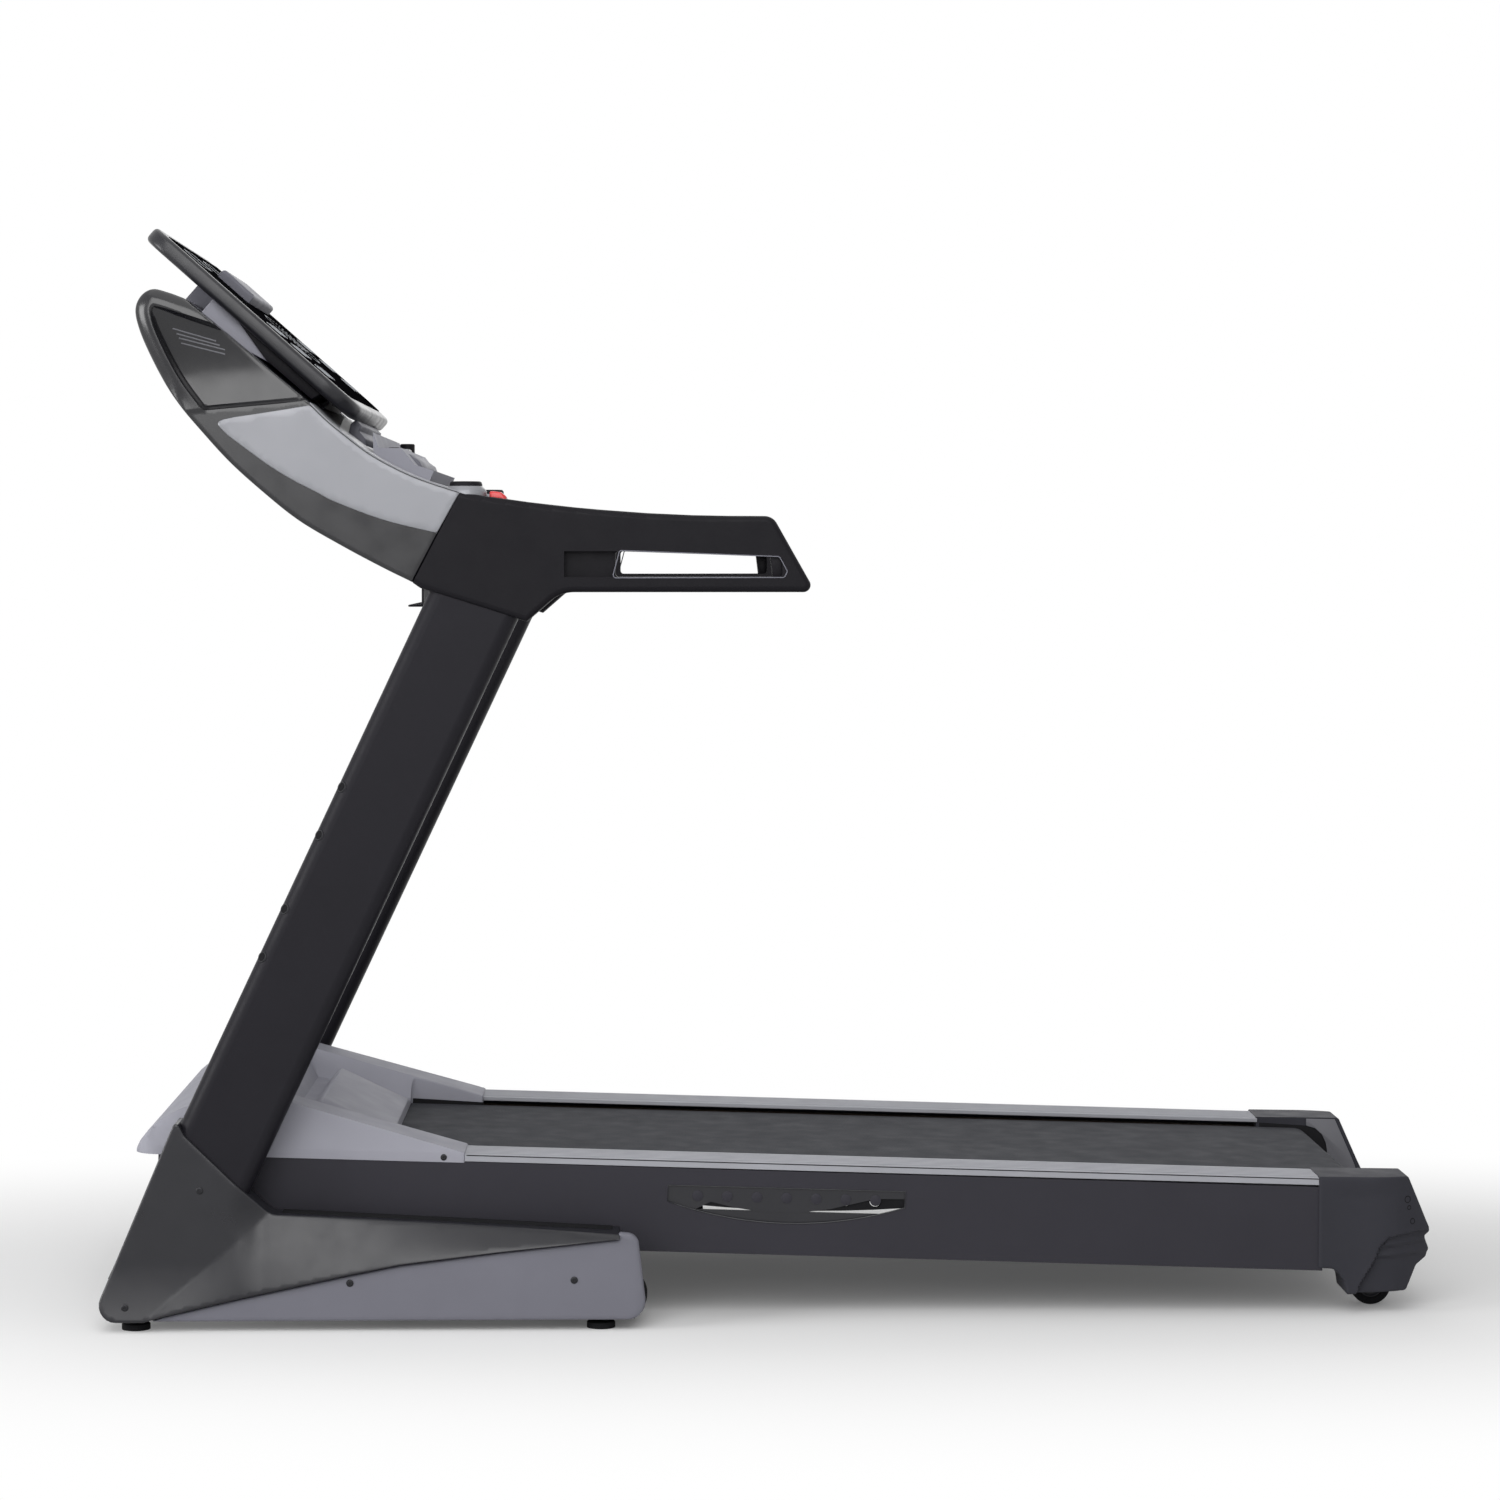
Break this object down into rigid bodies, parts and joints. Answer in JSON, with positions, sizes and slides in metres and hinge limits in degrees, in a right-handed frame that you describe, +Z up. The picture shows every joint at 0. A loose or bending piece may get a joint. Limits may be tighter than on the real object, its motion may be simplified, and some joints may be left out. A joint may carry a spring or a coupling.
{
  "type": "folding treadmill",
  "caption": "Motorised folding treadmill with a powered incline, leaning uprights, long slotted handrails, a tilted display and a ribbed deck on wheels.",
  "frame": {"origin": "middle of the footprint box, on the floor", "axes": "+X towards the rear of the deck, +Y towards the runner's right hand, +Z up"},
  "size_m": [1.8828, 0.895, 1.5448],
  "materials": {
    "frame_black": "satin black powder coat",
    "shell_dark": "fine grained dark grey moulding",
    "shell_grey": "fine grained mid grey moulding",
    "rail_grey": "ribbed light grey moulding",
    "trim_silver": "satin silver lacquer",
    "grip_black": "satin black moulding",
    "screen_black": "gloss black screen",
    "belt_black": "finely textured running belt",
    "board_wood": "waxed fibre board",
    "bright_steel": "turned steel",
    "rubber_black": "matte black rubber",
    "motor_dark": "dark grey enamel",
    "key_red": "gloss red"
  },
  "bodies": {
    "base": {"base_bolts": "bright_steel", "base_cross_tubes": "frame_black", "base_rails": "frame_black", "boot_cover_left": "shell_dark", "boot_cover_right": "shell_dark", "boot_panels": "shell_grey", "console_body": "grip_black", "console_cheeks": "shell_dark", "console_trims": "trim_silver", "control_pods": "grip_black", "cover_screws": "bright_steel", "display_brackets": "shell_grey", "display_glass": "screen_black", "display_ledge": "shell_grey", "display_panel": "grip_black", "handrail_left": "grip_black", "handrail_right": "grip_black", "incline_motor": "motor_dark", "levelling_feet": "rubber_black", "power_inlet": "grip_black", "upright_brace": "frame_black", "upright_left": "frame_black", "upright_right": "frame_black"},
    "lift_frame": {"lift_arms": "frame_black", "lift_rear_tube": "frame_black"},
    "fold_carrier": {"fold_shaft": "bright_steel", "fold_yoke": "frame_black", "spring_pin": "bright_steel"},
    "deck": {"side_beams": "frame_black", "foot_rails": "rail_grey", "cross_members": "frame_black", "running_board": "board_wood", "board_cushions": "rubber_black", "running_belt": "belt_black", "deck_axles": "bright_steel", "tension_bolts": "bright_steel", "motor_pan": "frame_black", "drive_motor": "motor_dark", "drive_belt": "rubber_black", "motor_controller": "grip_black", "motor_hood": "shell_grey", "rear_caps": "shell_dark", "wheel_housings": "shell_dark", "rear_guard": "shell_dark"},
    "front_roller": {"front_roller": "bright_steel"},
    "rear_roller": {"rear_roller": "bright_steel"},
    "motor_rotor": {"motor_rotor": "bright_steel"},
    "rear_wheel_left": {"rear_wheel_left": "rubber_black"},
    "rear_wheel_right": {"rear_wheel_right": "rubber_black"},
    "carry_wheel_left": {"carry_wheel_left": "rubber_black"},
    "carry_wheel_right": {"carry_wheel_right": "rubber_black"},
    "spring_cylinder": {"spring_cylinder": "motor_dark"},
    "spring_rod": {"spring_rod": "bright_steel"},
    "incline_screw": {"incline_screw": "bright_steel"},
    "safety_key": {"safety_key": "key_red"},
    "start_key": {"start_key": "trim_silver"},
    "stop_button_left": {"stop_button_left": "key_red"},
    "stop_button_right": {"stop_button_right": "key_red"},
    "power_switch": {"power_switch": "grip_black"}
  },
  "joints": [
    {"name": "incline", "type": "hinge", "parent": "base", "child": "lift_frame", "pos_m": [-0.29, 0, 0.088], "axis": [0, 1, 0], "range_deg": [0, 17.05]},
    {"name": "deck_level", "type": "hinge", "parent": "lift_frame", "child": "fold_carrier", "pos_m": [-0.825, 0, 0.175], "axis": [0, -1, 0], "range_deg": [0, 11.87]},
    {"name": "deck_fold", "type": "hinge", "parent": "fold_carrier", "child": "deck", "pos_m": [-0.825, 0, 0.175], "axis": [0, -1, 0], "range_deg": [0, 62]},
    {"name": "spring_swing", "type": "hinge", "parent": "fold_carrier", "child": "spring_cylinder", "pos_m": [-0.76007, 0, 0.09248], "axis": [0, -1, 0], "range_deg": [0, 62.57]},
    {"name": "spring_stroke", "type": "slide", "parent": "spring_cylinder", "child": "spring_rod", "axis": [0.9979, 0, 0.0642], "range_m": [0, 0.10809]},
    {"name": "incline_screw_slide", "type": "slide", "parent": "base", "child": "incline_screw", "axis": [1, 0, 0], "range_m": [0, 0.0167]},
    {"name": "front_roller_spin", "type": "hinge", "parent": "deck", "child": "front_roller", "pos_m": [-0.56203, 0, 0.20175], "axis": [0, 1, 0], "continuous": true},
    {"name": "rear_roller_spin", "type": "hinge", "parent": "deck", "child": "rear_roller", "pos_m": [0.83528, 0, 0.15784], "axis": [0, 1, 0], "continuous": true},
    {"name": "motor_spin", "type": "hinge", "parent": "deck", "child": "motor_rotor", "pos_m": [-0.73082, 0, 0.24308], "axis": [0, 1, 0], "continuous": true},
    {"name": "rear_wheel_left_spin", "type": "hinge", "parent": "deck", "child": "rear_wheel_left", "pos_m": [0.87025, -0.246, 0.029], "axis": [0, 1, 0], "continuous": true},
    {"name": "carry_wheel_left_spin", "type": "hinge", "parent": "base", "child": "carry_wheel_left", "pos_m": [-0.211, -0.368, 0.041], "axis": [0, 1, 0], "continuous": true},
    {"name": "stop_button_left_press", "type": "slide", "parent": "base", "child": "stop_button_left", "axis": [0, 0, -1], "range_m": [0, 0.002], "stiffness_N_per_m": 600, "springref_m": -0.001},
    {"name": "rear_wheel_right_spin", "type": "hinge", "parent": "deck", "child": "rear_wheel_right", "pos_m": [0.87025, 0.246, 0.029], "axis": [0, 1, 0], "continuous": true},
    {"name": "carry_wheel_right_spin", "type": "hinge", "parent": "base", "child": "carry_wheel_right", "pos_m": [-0.211, 0.368, 0.041], "axis": [0, 1, 0], "continuous": true},
    {"name": "stop_button_right_press", "type": "slide", "parent": "base", "child": "stop_button_right", "axis": [0, 0, -1], "range_m": [0, 0.002], "stiffness_N_per_m": 600, "springref_m": -0.001},
    {"name": "start_key_press", "type": "slide", "parent": "base", "child": "start_key", "axis": [0, 0, -1], "range_m": [0, 0.002], "stiffness_N_per_m": 600, "springref_m": -0.001},
    {"name": "safety_key_pull", "type": "slide", "parent": "base", "child": "safety_key", "axis": [0, 0, 1], "range_m": [0, 0.03]},
    {"name": "power_switch_rock", "type": "hinge", "parent": "base", "child": "power_switch", "pos_m": [-0.913, 0.1645, 0.037], "axis": [0, 1, 0], "range_deg": [0, 16]}
  ],
  "couplings": [
    {"joint": "deck_level", "follows": "incline", "ratio": 0.69502},
    {"joint": "incline_screw_slide", "follows": "incline", "m_per_rad": 0.055794},
    {"joint": "spring_swing", "follows": "deck_fold", "ratio": 1.0089},
    {"joint": "spring_stroke", "follows": "deck_fold", "m_per_rad": 0.099793},
    {"joint": "rear_roller_spin", "follows": "front_roller_spin", "ratio": 1},
    {"joint": "motor_spin", "follows": "front_roller_spin", "ratio": 1.75}
  ]
}
